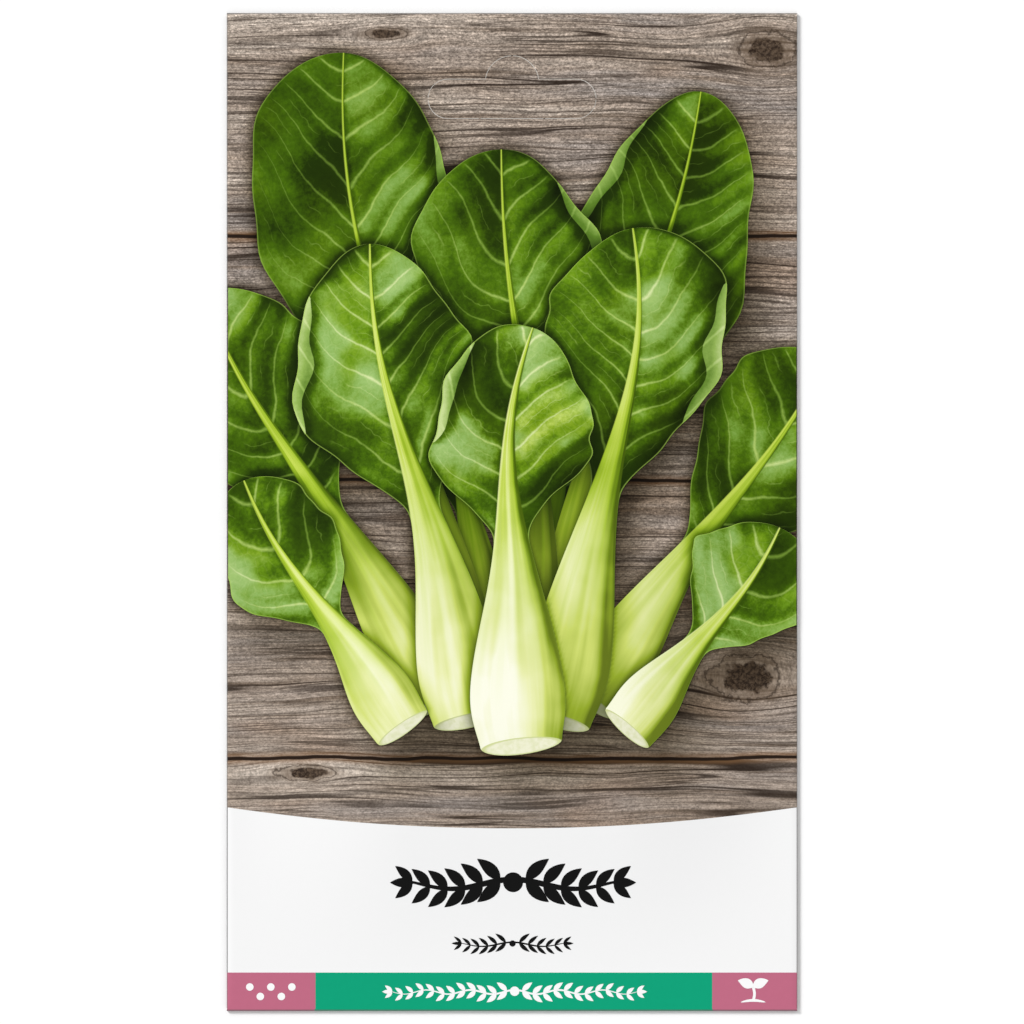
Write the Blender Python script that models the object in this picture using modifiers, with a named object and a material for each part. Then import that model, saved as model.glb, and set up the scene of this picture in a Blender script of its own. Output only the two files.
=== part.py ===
"""A seed packet: one folded and glued paper sheet with a scored hang-slot tab, and in it a film sachet of seeds.

The packet lies on its back on the surface z = 0, with the printed front up. Metres, +Z up, +Y towards the
hang slot, +X to the right as the front is read. The origin is under the middle of the packet.
"""

import math
import random

import bmesh
import bpy
from mathutils import Euler, Matrix, Vector

MM = 0.001

# The folded packet
PACKET_WIDTH = 108.6 * MM
PACKET_HEIGHT = 190.0 * MM
PAPER = 0.15 * MM  # thickness of the sheet
GLUE = 0.05 * MM  # glue film between two layers of the sheet

# The flaps that close it at the back
TOP_FLAP = 26.0 * MM
BOTTOM_FLAP = 16.0 * MM
SIDE_FLAP = 15.0 * MM
FLAP_TAPER = 5.0 * MM  # each side of an end flap, from its fold to its free edge
FLAP_INSET = 0.6 * MM  # each side of an end flap, at its fold
BACK_EDGE_GAP = 1.0 * MM  # from the free edge of the back panel to the right fold
WING_INSET = 0.45 * MM  # of the back panel and the side flap, from the end folds

# The hang slot, 32 mm wide with a round middle, scored and not yet pressed out
SLOT_LENGTH = 32.0 * MM
SLOT_HEIGHT = 7.5 * MM
SLOT_BELOW_TOP = 16.35 * MM  # from the top fold to the slot's centreline
SLOT_EYE_RADIUS = 5.1 * MM
SLOT_EYE_RAISE = 3.1 * MM  # the round middle's centre, above the slot's centreline
SCORE_WIDTH = 0.2 * MM
NICK = 0.9 * MM  # paper bridges that hold the tab
END_STEPS = 8  # straight steps along each round end
EYE_STEPS = 12

# The sachet and what it holds
SACHET_WIDTH = 68.0 * MM
SACHET_HEIGHT = 88.0 * MM
SACHET_Y = -12.0 * MM  # its middle, from the packet's middle
FILM = 0.1 * MM
FILM_GAP = 0.05 * MM  # between the two films at the welded rim
SEED_RADIUS = 0.95 * MM
SEED_PITCH = 1.55 * MM
SEED_JITTER = 0.04 * MM
SEED_BED = (8.6 * MM, 6.6 * MM)  # half axes of the layer of seeds
CLEARANCE = 0.3 * MM  # between pieces that touch on the real packet

# Middle of each paper layer, above the surface that the packet lies on
LAYER = PAPER + GLUE
FLAP_Z = PAPER / 2
BACK_Z = FLAP_Z + LAYER
SIDE_FLAP_Z = BACK_Z + LAYER
FRONT_Z = SIDE_FLAP_Z + LAYER

# Radii of the folds, at the middle of the sheet, and where the flat front ends
LEFT_RADIUS = (FRONT_Z - BACK_Z) / 2
RIGHT_RADIUS = (FRONT_Z - SIDE_FLAP_Z) / 2
END_RADIUS = (FRONT_Z - FLAP_Z) / 2
FRONT_LEFT = -PACKET_WIDTH / 2 + LEFT_RADIUS + PAPER / 2
FRONT_RIGHT = PACKET_WIDTH / 2 - RIGHT_RADIUS - PAPER / 2
FRONT_END = PACKET_HEIGHT / 2 - END_RADIUS - PAPER / 2

# Heights inside, from the back panel up to the front
SACHET_Z = BACK_Z + PAPER / 2 + CLEARANCE + FILM / 2
SEED_Z = SACHET_Z + FILM / 2 + CLEARANCE + SEED_RADIUS + SEED_JITTER
PILLOW_TOP_Z = SEED_Z + SEED_RADIUS + SEED_JITTER + CLEARANCE + FILM / 2
BULGE = PILLOW_TOP_Z + FILM / 2 + CLEARANCE + PAPER / 2 - FRONT_Z
BULGE_FLAT = (20.0 * MM, 26.0 * MM)  # half extents of the level middle of the bulge
BULGE_REACH = (52.0 * MM, 79.0 * MM)  # half extents of the whole bulge
PILLOW_FLAT = (13.0 * MM, 16.0 * MM)
PILLOW_REACH = (28.0 * MM, 38.0 * MM)

FOLD_STEPS = 4
FRONT_COLUMNS = 14
FRONT_ROWS = 20


def clear_scene():
    for obj in list(bpy.data.objects):
        bpy.data.objects.remove(obj, do_unlink=True)


def new_collection(name):
    collection = bpy.data.collections.new(name)
    bpy.context.scene.collection.children.link(collection)
    return collection


def material(name, colour, roughness, metallic=0.0):
    made = bpy.data.materials.new(name)
    made.use_nodes = True
    shader = made.node_tree.nodes["Principled BSDF"]
    shader.inputs["Base Color"].default_value = (*colour, 1.0)
    shader.inputs["Roughness"].default_value = roughness
    shader.inputs["Metallic"].default_value = metallic
    return made


def spread(start, end, steps):
    """Evenly spaced values from start to end, both included."""
    return [start + (end - start) * i / steps for i in range(steps + 1)]


def falloff(distance, flat, reach):
    """1 up to flat, easing down to 0 at reach."""
    share = min(max((distance - flat) / (reach - flat), 0.0), 1.0)
    return 1.0 - share * share * (3.0 - 2.0 * share)


def swell(x, y, flat, reach):
    """Share of the full height of a pillow shape round the sachet's middle."""
    return falloff(abs(x), flat[0], reach[0]) * falloff(abs(y - SACHET_Y), flat[1], reach[1])


def wrap(distance, radius):
    """Outward and downward travel of the sheet, this far past the start of a half-turn fold."""
    turn = math.pi * radius
    if distance < turn:
        angle = distance / radius
        return radius * math.sin(angle), radius * (1.0 - math.cos(angle))
    return turn - distance, 2.0 * radius


def folded(across, along):
    """Where a point of the flat blank lies in the folded packet. Both distances run along the sheet."""
    x = min(max(across, FRONT_LEFT), FRONT_RIGHT)
    y = min(max(along, -FRONT_END), FRONT_END)
    z = FRONT_Z + BULGE * swell(x, y, BULGE_FLAT, BULGE_REACH)
    if across < FRONT_LEFT:
        out, drop = wrap(FRONT_LEFT - across, LEFT_RADIUS)
        x, z = FRONT_LEFT - out, FRONT_Z - drop
    elif across > FRONT_RIGHT:
        out, drop = wrap(across - FRONT_RIGHT, RIGHT_RADIUS)
        x, z = FRONT_RIGHT + out, FRONT_Z - drop
    elif abs(along) > FRONT_END:
        out, drop = wrap(abs(along) - FRONT_END, END_RADIUS)
        y, z = math.copysign(FRONT_END + out, along), FRONT_Z - drop
    return Vector((x, y, z))


def blank_lines():
    """Positions of the blank's grid lines, across and along, and the indices that bound the front."""
    left_turn, right_turn = math.pi * LEFT_RADIUS, math.pi * RIGHT_RADIUS
    end_turn = math.pi * END_RADIUS
    back_width = FRONT_RIGHT - FRONT_LEFT - BACK_EDGE_GAP
    back = spread(FRONT_LEFT - left_turn - back_width, FRONT_LEFT - left_turn, 6)
    left_fold = spread(FRONT_LEFT - left_turn, FRONT_LEFT, FOLD_STEPS)
    front = spread(FRONT_LEFT, FRONT_RIGHT, FRONT_COLUMNS)
    right_fold = spread(FRONT_RIGHT, FRONT_RIGHT + right_turn, FOLD_STEPS)
    side_flap = [FRONT_RIGHT + right_turn + SIDE_FLAP]
    across = back + left_fold[1:] + front[1:] + right_fold[1:] + side_flap
    first_column = len(back) + FOLD_STEPS - 1

    bottom_flap = [-FRONT_END - end_turn - share * BOTTOM_FLAP for share in (1.0, 0.85, 0.4)]
    bottom_fold = spread(-FRONT_END - end_turn, -FRONT_END, FOLD_STEPS)
    front_rows = spread(-FRONT_END + WING_INSET, FRONT_END - WING_INSET, FRONT_ROWS)
    top_fold = spread(FRONT_END, FRONT_END + end_turn, FOLD_STEPS)
    top_flap = [FRONT_END + end_turn + share * TOP_FLAP for share in (0.4, 0.9, 1.0)]
    along = bottom_flap + bottom_fold + front_rows + top_fold + top_flap
    first_row = len(bottom_flap) + FOLD_STEPS
    return (
        across,
        along,
        (first_column, first_column + FRONT_COLUMNS),
        (first_row, first_row + FRONT_ROWS + 2),
    )


def flap_outline(across, along):
    """Narrows an end flap towards its free edge, with clipped corners."""
    depth = abs(along) - FRONT_END - math.pi * END_RADIUS
    length = TOP_FLAP if along > 0 else BOTTOM_FLAP
    if depth < 0:
        return across
    share = depth / length
    clipped = max(share - 0.85, 0.0) / 0.15
    inset = FLAP_INSET + FLAP_TAPER * (share + 0.5 * clipped)
    return across * (1.0 - inset / (PACKET_WIDTH / 2))


def score_stretches():
    """The slot's outline as polylines with a gap at each nick."""
    centre_y = PACKET_HEIGHT / 2 - SLOT_BELOW_TOP
    end_radius = SLOT_HEIGHT / 2
    end_x = SLOT_LENGTH / 2 - end_radius
    eye_y = centre_y + SLOT_EYE_RAISE
    eye_start = math.asin((end_radius - SLOT_EYE_RAISE) / SLOT_EYE_RADIUS)

    def arc(x, y, radius, start, end, steps):
        turns = spread(start, end, steps)
        return [Vector((x + radius * math.cos(a), y + radius * math.sin(a), 0.0)) for a in turns]

    quarter = math.pi / 2
    outline = arc(end_x, centre_y, end_radius, -quarter, quarter, END_STEPS)
    outline += arc(0.0, eye_y, SLOT_EYE_RADIUS, eye_start, math.pi - eye_start, EYE_STEPS)
    outline += arc(-end_x, centre_y, end_radius, quarter, 3 * quarter, END_STEPS)
    outline.append(outline[0].copy())

    marks = [0.0]
    for before, after in zip(outline, outline[1:]):
        marks.append(marks[-1] + (after - before).length)

    def at(distance):
        for i in range(len(marks) - 1):
            if distance <= marks[i + 1]:
                share = (distance - marks[i]) / (marks[i + 1] - marks[i])
                return outline[i].lerp(outline[i + 1], share)
        return outline[-1]

    # A nick at each round end, at the top of the eye and at two places along the straight bottom
    whole = marks[-1]
    right_end = marks[END_STEPS] / 2
    eye_top = (marks[END_STEPS + 1] + marks[END_STEPS + 1 + EYE_STEPS]) / 2
    bottom = marks[-2]
    left_end = bottom - marks[END_STEPS] / 2
    straight = whole - bottom
    nicks = [right_end, eye_top, left_end, bottom + straight * 0.25, bottom + straight * 0.75]
    stretches = []
    for here, there in zip(nicks, nicks[1:] + [nicks[0] + whole]):
        start, end = here + NICK / 2, there - NICK / 2
        inner = [m for lap in (0.0, whole) for m in (n + lap for n in marks[:-1]) if start < m < end]
        stretches.append([at(d % whole) for d in [start] + inner + [end]])
    return stretches


def make_score_cutter(collection):
    """Thin upright walls along the slot's outline, which cut through every layer of the header."""
    curve = bpy.data.curves.new("score_path", "CURVE")
    curve.dimensions = "2D"
    curve.fill_mode = "NONE"
    curve.extrude = FRONT_Z + PAPER
    for points in score_stretches():
        spline = curve.splines.new("POLY")
        spline.points.add(len(points) - 1)
        for target, point in zip(spline.points, points):
            target.co = (*point, 1.0)
    guide = bpy.data.objects.new("score_guide", curve)
    collection.objects.link(guide)
    bpy.context.view_layer.update()
    walls = bpy.data.meshes.new_from_object(guide.evaluated_get(bpy.context.evaluated_depsgraph_get()))
    cutter = bpy.data.objects.new("score_cutter", walls)
    collection.objects.link(cutter)
    bpy.data.objects.remove(guide, do_unlink=True)

    solid = cutter.modifiers.new("wall", "SOLIDIFY")
    solid.thickness = SCORE_WIDTH
    solid.offset = 0.0
    cutter.hide_render = True
    cutter.display_type = "WIRE"
    return cutter


def make_envelope(collection, cutter):
    """The whole paper sheet: front, back panel, side flap and both end flaps, folded from one blank."""
    across, along, columns, rows = blank_lines()
    mesh = bpy.data.meshes.new("paper_envelope")
    sheet = bmesh.new()
    bmesh.ops.create_grid(sheet, x_segments=len(across) - 1, y_segments=len(along) - 1, size=0.5)

    # Unit grid to grid lines, then cut the blank's four corners away
    place = {v: (round((v.co.x + 0.5) * (len(across) - 1)), round((v.co.y + 0.5) * (len(along) - 1)))
             for v in sheet.verts}
    wing_rows = (rows[0] + 1, rows[1] - 1)

    def in_corner(face):
        spots = [place[v] for v in face.verts]
        column, row = min(s[0] for s in spots), min(s[1] for s in spots)
        beside = column < columns[0] or column >= columns[1]
        return beside and not wing_rows[0] <= row < wing_rows[1]

    bmesh.ops.delete(sheet, geom=[f for f in sheet.faces if in_corner(f)], context="FACES")
    for vert in sheet.verts:
        column, row = place[vert]
        flat_x, flat_y = across[column], along[row]
        if not rows[0] <= row <= rows[1]:
            flat_x = flap_outline(flat_x, flat_y)
        vert.co = folded(flat_x, flat_y)
    sheet.to_mesh(mesh)
    sheet.free()

    envelope = bpy.data.objects.new("paper_envelope", mesh)
    collection.objects.link(envelope)
    mesh.materials.append(material("printed_paper", (0.90, 0.90, 0.90), 0.45))
    solid = envelope.modifiers.new("paper", "SOLIDIFY")
    solid.thickness = PAPER
    solid.offset = 0.0
    score = envelope.modifiers.new("hang_slot_score", "BOOLEAN")
    score.operation = "DIFFERENCE"
    score.solver = "EXACT"
    score.object = cutter
    return envelope


def make_sachet(collection):
    """A pouch from one strip of film, folded at its bottom edge and welded flat round the other three."""
    fold_radius = (FILM + FILM_GAP) / 2
    low, high = SACHET_Y - SACHET_HEIGHT / 2 + fold_radius + FILM / 2, SACHET_Y + SACHET_HEIGHT / 2
    half = SACHET_WIDTH / 2
    columns = spread(-half, half, 14)
    under = [high, SACHET_Y, low]
    fold = [math.pi * i / FOLD_STEPS for i in range(1, FOLD_STEPS)]
    over = spread(low, high, 18)
    rows = [(y, SACHET_Z, False) for y in under]
    rows += [(low - fold_radius * math.sin(a), SACHET_Z + fold_radius * (1 - math.cos(a)), False) for a in fold]
    rows += [(y, SACHET_Z + 2 * fold_radius, True) for y in over]

    mesh = bpy.data.meshes.new("seed_sachet")
    strip = bmesh.new()
    bmesh.ops.create_grid(strip, x_segments=len(columns) - 1, y_segments=len(rows) - 1, size=0.5)
    swelling = PILLOW_TOP_Z - SACHET_Z - 2 * fold_radius
    for vert in strip.verts:
        x = columns[round((vert.co.x + 0.5) * (len(columns) - 1))]
        y, z, is_upper = rows[round((vert.co.y + 0.5) * (len(rows) - 1))]
        if is_upper:
            z += swelling * swell(x, y, PILLOW_FLAT, PILLOW_REACH)
        vert.co = (x, y, z)
    strip.to_mesh(mesh)
    strip.free()

    sachet = bpy.data.objects.new("seed_sachet", mesh)
    collection.objects.link(sachet)
    mesh.materials.append(material("sachet_film", (0.72, 0.73, 0.75), 0.25, 0.6))
    solid = sachet.modifiers.new("film", "SOLIDIFY")
    solid.thickness = FILM
    solid.offset = 0.0
    return sachet


def make_seeds(collection, helpers):
    """One layer of round seeds, closely packed and fused where they touch."""
    draw = random.Random(7)
    pieces = bpy.data.collections.new("loose_seeds")
    helpers.children.link(pieces)
    row_step = SEED_PITCH * math.sqrt(3) / 2
    reach = [math.ceil(SEED_BED[0] / SEED_PITCH), math.ceil(SEED_BED[1] / row_step)]
    seeds = []
    for row in range(-reach[1], reach[1] + 1):
        for column in range(-reach[0], reach[0] + 1):
            x = (column + 0.5 * (row % 2)) * SEED_PITCH
            y = row * row_step
            if (x / SEED_BED[0]) ** 2 + (y / SEED_BED[1]) ** 2 > 1.0:
                continue
            shift = [draw.uniform(-SEED_JITTER, SEED_JITTER) for _ in range(3)]
            turn = Euler([draw.uniform(0.0, math.tau) for _ in range(3)]).to_matrix().to_4x4()
            mesh = bpy.data.meshes.new("seed")
            ball = bmesh.new()
            bmesh.ops.create_icosphere(ball, subdivisions=1, radius=SEED_RADIUS)
            spot = Matrix.Translation((x + shift[0], y + SACHET_Y + shift[1], SEED_Z + shift[2]))
            ball.transform(spot @ turn)
            ball.to_mesh(mesh)
            ball.free()
            seeds.append(bpy.data.objects.new("seed", mesh))

    bed, rest = seeds[0], seeds[1:]
    collection.objects.link(bed)
    bed.name = bed.data.name = "seeds"
    for seed in rest:
        pieces.objects.link(seed)
    join = bed.modifiers.new("fuse", "BOOLEAN")
    join.operand_type = "COLLECTION"
    join.operation = "UNION"
    join.solver = "MANIFOLD"
    join.collection = pieces
    bpy.context.view_layer.update()
    fused = bpy.data.meshes.new_from_object(bed.evaluated_get(bpy.context.evaluated_depsgraph_get()))
    bed.modifiers.remove(join)
    bed.data = fused
    fused.materials.clear()
    fused.materials.append(material("seed_coat", (0.11, 0.05, 0.03), 0.55))
    for seed in rest:
        bpy.data.objects.remove(seed, do_unlink=True)
    bpy.data.collections.remove(pieces)
    return bed


def main():
    clear_scene()
    packet = new_collection("seed_packet")
    helpers = new_collection("cutters")
    cutter = make_score_cutter(helpers)
    make_envelope(packet, cutter)
    make_sachet(packet)
    make_seeds(packet, helpers)


main()
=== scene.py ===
import math
import random

import bpy
import numpy as np
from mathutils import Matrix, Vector


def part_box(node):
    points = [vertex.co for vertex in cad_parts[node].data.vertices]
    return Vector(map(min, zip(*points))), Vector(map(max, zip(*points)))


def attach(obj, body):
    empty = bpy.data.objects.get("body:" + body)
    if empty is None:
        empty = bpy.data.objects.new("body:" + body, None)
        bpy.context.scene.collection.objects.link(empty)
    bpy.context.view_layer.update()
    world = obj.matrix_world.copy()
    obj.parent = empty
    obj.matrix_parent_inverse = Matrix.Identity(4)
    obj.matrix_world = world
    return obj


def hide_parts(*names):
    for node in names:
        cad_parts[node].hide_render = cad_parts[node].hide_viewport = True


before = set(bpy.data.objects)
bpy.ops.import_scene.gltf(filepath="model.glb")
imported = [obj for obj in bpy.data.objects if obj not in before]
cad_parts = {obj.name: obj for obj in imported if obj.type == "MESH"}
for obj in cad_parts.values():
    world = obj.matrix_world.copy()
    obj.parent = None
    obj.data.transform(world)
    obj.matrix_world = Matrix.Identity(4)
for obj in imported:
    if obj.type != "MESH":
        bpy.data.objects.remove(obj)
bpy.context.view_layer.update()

mm = 0.001
envelopeLow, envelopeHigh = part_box("paper_envelope")
packetWidth = envelopeHigh.x - envelopeLow.x
packetHeight = envelopeHigh.y - envelopeLow.y

# The folded sheet, as the solid has it. Sizes in metres.
sheet = {
    "paper": 0.15 * mm,
    "glue": 0.05 * mm,
    "topFlap": 26.0 * mm,
    "bottomFlap": 16.0 * mm,
    "sideFlap": 15.0 * mm,
    "flapTaper": 5.0 * mm,
    "flapInset": 0.6 * mm,
    "clipFrom": 0.85,               # share of a flap's length past which its corners are clipped
    "backEdgeGap": 1.0 * mm,
    "wingInset": 0.06 * mm,
    "cornerRoom": 0.01 * mm,        # the square corners end this far inside the packet's width
    "smoothAngle": 40.0,            # degrees
    "swellMiddle": -12.0 * mm,      # the sachet's middle, up from the packet's
    "swellFlat": (20.0 * mm, 26.0 * mm),
    "swellReach": (52.0 * mm, 79.0 * mm),
    "ripple": 0.05 * mm,            # soft unevenness of the filled front
    "inkRoom": 0.14 * mm,           # kept free under the solid's top for the ink
    "plainSpot": (-108.0, 72.0),    # on the blank's plain back, mm: the scored line's colour when exported
    "bleed": 3.0 * mm,              # print that runs on past the end folds
    "sideBleed": 1.2 * mm,
}
paper = sheet["paper"]
layerStep = paper + sheet["glue"]
flapZ = paper / 2
backZ = flapZ + layerStep
sideFlapZ = backZ + layerStep
frontZ = sideFlapZ + layerStep
leftRadius = (frontZ - backZ) / 2
rightRadius = (frontZ - sideFlapZ) / 2
endRadius = (frontZ - flapZ) / 2
frontLeft = -packetWidth / 2 + leftRadius + paper / 2
frontRight = packetWidth / 2 - rightRadius - paper / 2
frontEnd = packetHeight / 2 - endRadius - paper / 2
leftFold = frontLeft - math.pi * leftRadius        # where each fold ends on the flat blank
rightFold = frontRight + math.pi * rightRadius
endFold = frontEnd + math.pi * endRadius
swellHeight = envelopeHigh.z - paper / 2 - frontZ - sheet["inkRoom"]

# Where the print's fields meet, up from the packet's middle or right of it
fields = {
    "archMiddle": packetHeight / 2 - 155.1 * mm,
    "archSide": packetHeight / 2 - 151.2 * mm,
    "aboveArch": packetHeight / 2 - 131.1 * mm,    # from here up the sheet's grid is straight again
    "bandTop": packetHeight / 2 - 182.65 * mm,
    "leftBox": -packetWidth / 2 + 16.9 * mm,
    "rightBox": packetWidth / 2 - 16.2 * mm,
}


# Shapes of the sheet


def easeDown(distance, flat, reach):
    share = np.clip((distance - flat) / (reach - flat), 0.0, 1.0)
    return 1.0 - share * share * (3.0 - 2.0 * share)


def frontHeight(x, y):    # middle of the front sheet over a spot
    flat, reach = sheet["swellFlat"], sheet["swellReach"]
    swell = easeDown(abs(x), flat[0], reach[0]) * easeDown(abs(y - sheet["swellMiddle"]), flat[1], reach[1])
    wave = np.sin(x / (9.1 * mm) + 0.7) * np.sin(y / (13.0 * mm) - x / (31.0 * mm))
    return frontZ + swellHeight * swell - sheet["ripple"] * np.sqrt(swell) * (0.5 + 0.5 * wave)


def halfTurn(distance, radius):    # outward and downward travel past the start of a fold
    angle = np.clip(distance / radius, 0.0, math.pi)
    beyond = np.maximum(distance - math.pi * radius, 0.0)
    return radius * np.sin(angle) - beyond, radius * (1.0 - np.cos(angle))


def fold(across, along):    # flat blank to folded packet
    x = np.clip(across, frontLeft, frontRight)
    y = np.clip(along, -frontEnd, frontEnd)
    z = frontHeight(x, y)
    leftOut, leftDrop = halfTurn(np.maximum(frontLeft - across, 0.0), leftRadius)
    rightOut, rightDrop = halfTurn(np.maximum(across - frontRight, 0.0), rightRadius)
    endOut, endDrop = halfTurn(np.maximum(np.abs(along) - frontEnd, 0.0), endRadius)
    x, y = x - leftOut + rightOut, y + np.sign(along) * endOut
    return np.stack([x, y, z - leftDrop - rightDrop - endDrop], 1)


def archLine(x):    # lower edge of the picture, a shallow arc that hangs in the middle
    half = packetWidth / 2
    sag = fields["archSide"] - fields["archMiddle"]
    radius = (half * half + sag * sag) / (2 * sag)
    inside = np.clip(x, frontLeft, frontRight)
    return fields["archMiddle"] + radius - np.sqrt(radius * radius - inside * inside)


# Small tools for meshes


def freshSelection():
    bpy.ops.object.select_all(action="DESELECT")


def selectOnly(*pieces):    # the first is the active one
    freshSelection()
    for piece in pieces:
        piece.select_set(True)
    bpy.context.view_layer.objects.active = pieces[0]


def readAll(items, name, kind=np.int32, width=1):
    found = np.empty(len(items) * width, dtype=kind)
    items.foreach_get(name, found)
    return found.reshape(-1, width) if width > 1 else found


def pointsOf(mesh):
    return readAll(mesh.vertices, "co", np.float32, 3).astype(float)


def setPoints(mesh, spots):
    mesh.vertices.foreach_set("co", np.asarray(spots, dtype=np.float32).ravel())
    mesh.update()


def readUv(mesh, name):
    return readAll(mesh.uv_layers[name].data, "uv", np.float32, 2).astype(float)


def writeUv(mesh, name, values):
    layer = mesh.uv_layers.get(name) or mesh.uv_layers.new(name=name)
    corners = readAll(mesh.loops, "vertex_index")
    layer.data.foreach_set("uv", np.asarray(values, dtype=np.float32)[corners].ravel())


def clearUv(mesh):
    for layer in list(mesh.uv_layers):
        mesh.uv_layers.remove(layer)


def writeBakeMap(mesh, places, hidden):    # hidden faces get only a strip at the exported texture's right
    places = np.where(hidden[:, None], places * (0.04, 1.0) + (0.96, 0.0), places * (0.95, 1.0))
    layer = mesh.uv_layers.new(name="OFBake", do_init=False)
    layer.data.foreach_set("uv", places.astype(np.float32).ravel())


def writeNumbers(mesh, name, values):
    layer = mesh.attributes.get(name) or mesh.attributes.new(name, "FLOAT", "POINT")
    layer.data.foreach_set("value", np.asarray(values, dtype=np.float32))


def takeNumbers(mesh, name):    # reads an attribute and removes it
    values = readAll(mesh.attributes[name].data, "value", np.float32).astype(float)
    mesh.attributes.remove(mesh.attributes[name])
    return values


def addGrid(name, columns, rows):    # a grid and, for each point, its column and row
    freshSelection()
    bpy.ops.mesh.primitive_grid_add(x_subdivisions=columns, y_subdivisions=rows, size=2)
    piece = bpy.context.object
    piece.name = piece.data.name = name
    spots = pointsOf(piece.data)
    column = np.rint((spots[:, 0] + 1) / 2 * columns).astype(int)
    row = np.rint((spots[:, 1] + 1) / 2 * rows).astype(int)
    return piece, column, row


def useModifier(piece, kind, **settings):
    selectOnly(piece)
    modifier = piece.modifiers.new(kind.lower(), kind)
    for key, value in settings.items():
        setattr(modifier, key, value)
    bpy.ops.object.modifier_apply(modifier=modifier.name)


def editMesh(piece, *steps):    # each step is an edit-mode operator with its settings, on all of the mesh
    selectOnly(piece)
    bpy.ops.object.mode_set(mode="EDIT")
    bpy.ops.mesh.select_mode(type="VERT")
    for operator, settings in steps:
        bpy.ops.mesh.select_all(action="SELECT")
        operator(**settings)
    bpy.ops.object.mode_set(mode="OBJECT")


def joinAll(pieces, name):
    selectOnly(*pieces)
    bpy.ops.object.join()
    pieces[0].name = pieces[0].data.name = name
    return pieces[0]


def addObject(name, data):
    piece = bpy.data.objects.new(name, data)
    bpy.context.scene.collection.objects.link(piece)
    return piece


def layFlat(piece, flat):    # a grid's points go to flat places, and its own map goes away
    setPoints(piece.data, np.column_stack([flat, np.zeros(len(flat))]))
    clearUv(piece.data)


def spread(start, end, steps):
    return list(np.linspace(start, end, steps + 1))


def sideOf(line, *spacing):    # the direction to the right of a line at each of its points
    heading = np.gradient(line, *spacing, axis=0)
    heading /= np.maximum(np.linalg.norm(heading, axis=1), 1e-9)[:, None]
    return np.stack([heading[:, 1], -heading[:, 0]], 1)


def lengthsAlong(line):    # how far along a line each of its points lies
    return np.concatenate([[0], np.cumsum(np.linalg.norm(np.diff(line, axis=0), axis=1))])


# Small tools for materials

making = {"tree": None}    # where new nodes go: into the finish that is being made


class Wire:    # a node's output, on which a sign such as + adds a Math node
    def __init__(self, socket):
        self.socket = socket

    def __add__(self, other):
        return calc("ADD", self, other)

    def __sub__(self, other):
        return calc("SUBTRACT", self, other)

    def __rsub__(self, other):
        return calc("SUBTRACT", other, self)

    def __mul__(self, other):
        return calc("MULTIPLY", self, other)

    def __truediv__(self, other):
        return calc("DIVIDE", self, other)

    def __pow__(self, other):
        return calc("POWER", self, other)

    def __abs__(self):
        return calc("ABSOLUTE", self)


def srgb(red, green, blue):
    shares = [c / 255 for c in (red, green, blue)]
    return tuple(s / 12.92 if s <= 0.04045 else ((s + 0.055) / 1.055) ** 2.4 for s in shares) + (1.0,)


def plug(value, socket):    # a wire is linked, a number or a colour is set as it is
    if isinstance(value, Wire):
        socket.id_data.links.new(value.socket, socket)
    else:
        socket.default_value = value


def put(kind, sockets, output=0, **settings):
    node = making["tree"].nodes.new(kind)
    for key, value in settings.items():
        setattr(node, key, value)
    for key, value in sockets.items():
        plug(value, node.inputs[key])
    return Wire(node.outputs[output])


def calc(operation, *values, clamp=False):
    return put("ShaderNodeMath", dict(enumerate(values)), operation=operation, use_clamp=clamp)


def rangeOf(value, low, high, start=0.0, end=1.0, smooth=True):
    kind = "SMOOTHSTEP" if smooth else "LINEAR"
    sockets = {"Value": value, "From Min": low, "From Max": high, "To Min": start, "To Max": end}
    return put("ShaderNodeMapRange", sockets, interpolation_type=kind)


def blend(share, first, second, mode="MIX"):
    sockets = {0: share, 6: first, 7: second}
    return put("ShaderNodeMix", sockets, output=2, data_type="RGBA", blend_type=mode)


def noise(vector, scale, detail=2.0, roughness=0.5):
    sockets = {"Vector": vector, "Scale": scale, "Detail": detail, "Roughness": roughness}
    return put("ShaderNodeTexNoise", sockets)


def cellsOf(vector, scale, feature="DISTANCE_TO_EDGE"):
    return put("ShaderNodeTexVoronoi", {"Vector": vector, "Scale": scale}, feature=feature)


def shifted(vector, by):
    return put("ShaderNodeVectorMath", {0: vector, 1: by}, operation="ADD")


def combine(x, y, z=0.0):
    return put("ShaderNodeCombineXYZ", {0: x, 1: y, 2: z})


def ramp(value, stops):
    output = put("ShaderNodeValToRGB", {0: value})
    stopList = output.socket.node.color_ramp.elements
    while len(stopList) < len(stops):
        stopList.new(1.0)
    for element, (position, colour) in zip(stopList, stops):
        element.position = position
    for element, (position, colour) in zip(stopList, stops):
        element.color = colour
    return output


def objectPlace():
    return put("ShaderNodeTexCoord", {}, output=3)


def uvOf(name):    # across and along a named map, in its own units
    split = put("ShaderNodeSeparateXYZ", {0: put("ShaderNodeUVMap", {}, uv_map=name)}).socket.node
    return Wire(split.outputs[0]), Wire(split.outputs[1])


def numberOf(name):
    return put("ShaderNodeAttribute", {}, output=2, attribute_name=name, attribute_type="GEOMETRY")


def bumpOf(height, distance, strength):
    return put("ShaderNodeBump", {"Strength": strength, "Distance": distance, "Height": height})


def wear(material, values):    # wires, numbers or colours for the inputs of the material's shader
    for name, value in values.items():
        plug(value, material.node_tree.nodes["Principled BSDF"].inputs[name])
    return material


def newMaterial(name, roughness, metallic=0.0):
    material = bpy.data.materials.new(name)
    material.use_nodes = True
    making["tree"] = material.node_tree
    return wear(material, {"Roughness": roughness, "Metallic": metallic})


def newPrint(name):    # offset ink on coated paper
    return wear(newMaterial(name, coatedPaper["gloss"]), {"Specular IOR Level": coatedPaper["sheen"]})


# Finishes of the paper

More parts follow.
